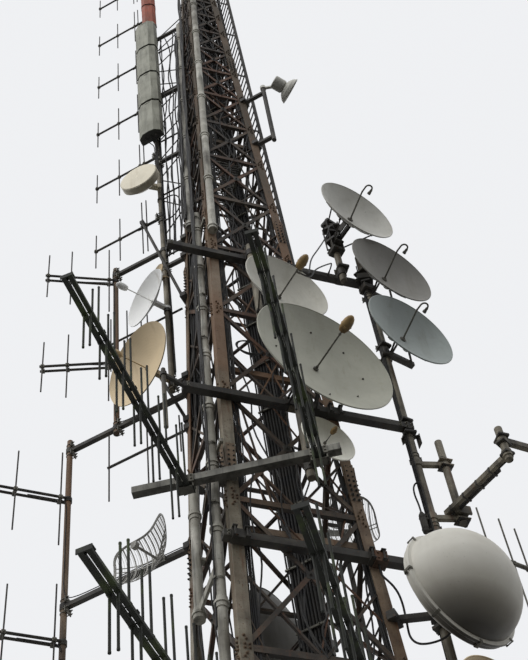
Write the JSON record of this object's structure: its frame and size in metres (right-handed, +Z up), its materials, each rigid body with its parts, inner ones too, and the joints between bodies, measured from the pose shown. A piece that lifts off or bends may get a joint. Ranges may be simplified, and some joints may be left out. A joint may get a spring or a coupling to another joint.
{
  "type": "lattice cell tower",
  "caption": "Tapered square lattice tower with crossed bracing, a side ladder, and dishes, yagis, log periodic and panel antennas on beams and poles.",
  "frame": {"origin": "centre of the underside of the front leg's base plate", "axes": "+Z up, +X from the front leg to the right leg, +Y from the front leg to the left leg"},
  "size_m": [5.5888, 5.8389, 31.62],
  "materials": {
    "black_cable": "matt",
    "blue_grey_shell": "matt blue grey",
    "brown_paint": "weathered brown paint",
    "cream_shell": "matt cream, weathered",
    "dark_steel": "dark grime over grey paint",
    "feed_metal": "dull",
    "galvanised": "weathered grey and tan paint",
    "green_metal": "dark green, algae and grime",
    "grey_green_cover": "matt, weathered",
    "grey_pipe": "weathered grey",
    "grid_wire": "dull",
    "orange_cover": "matt, faded",
    "pale_shell": "matt off-white",
    "white_cover": "matt white"
  },
  "bodies": {
    "root": {"leg_front": "brown_paint", "leg_right": "brown_paint", "leg_back": "brown_paint", "leg_left": "brown_paint", "bracing_front": "galvanised", "bracing_right": "galvanised", "bracing_back": "galvanised", "bracing_left": "galvanised", "top_plate": "galvanised", "ladder": "dark_steel", "cable_ladder": "dark_steel", "feeder_cables": "black_cable", "conduit": "grey_pipe", "beam_upper": "dark_steel", "beam_middle": "dark_steel", "beam_lower": "dark_steel", "front_bars": "brown_paint", "yard_upper": "grey_pipe", "yard_lower": "grey_pipe", "log_antenna_1": "green_metal", "log_antenna_2": "green_metal", "log_antenna_3": "green_metal", "log_antenna_4": "green_metal", "dish_pole": "galvanised", "stub_poles": "galvanised", "side_pole": "galvanised", "dish_upper": "pale_shell", "dish_middle": "pale_shell", "dish_lower": "blue_grey_shell", "large_dish": "pale_shell", "rear_large_dish": "pale_shell", "small_dish": "pale_shell", "covered_dish": "white_cover", "bottom_dish": "cream_shell", "dish_feeds": "feed_metal", "dish_mounts": "dark_steel", "left_mast": "galvanised", "left_arms": "dark_steel", "left_poles": "brown_paint", "panel_antennas": "grey_green_cover", "upper_panels": "orange_cover", "yagi_stack": "dark_steel", "left_yagis": "dark_steel", "right_yagi": "galvanised", "white_dish": "white_cover", "cream_dish": "cream_shell", "drum_dish": "cream_shell", "grid_dish_left": "grid_wire", "grid_dish_right": "grid_wire", "top_arms": "dark_steel", "top_drum": "pale_shell", "back_dish": "pale_shell", "dish_jumper_1": "black_cable", "dish_jumper_2": "black_cable", "cover_jumper": "black_cable", "left_jumper": "black_cable"}
  },
  "joints": []
}
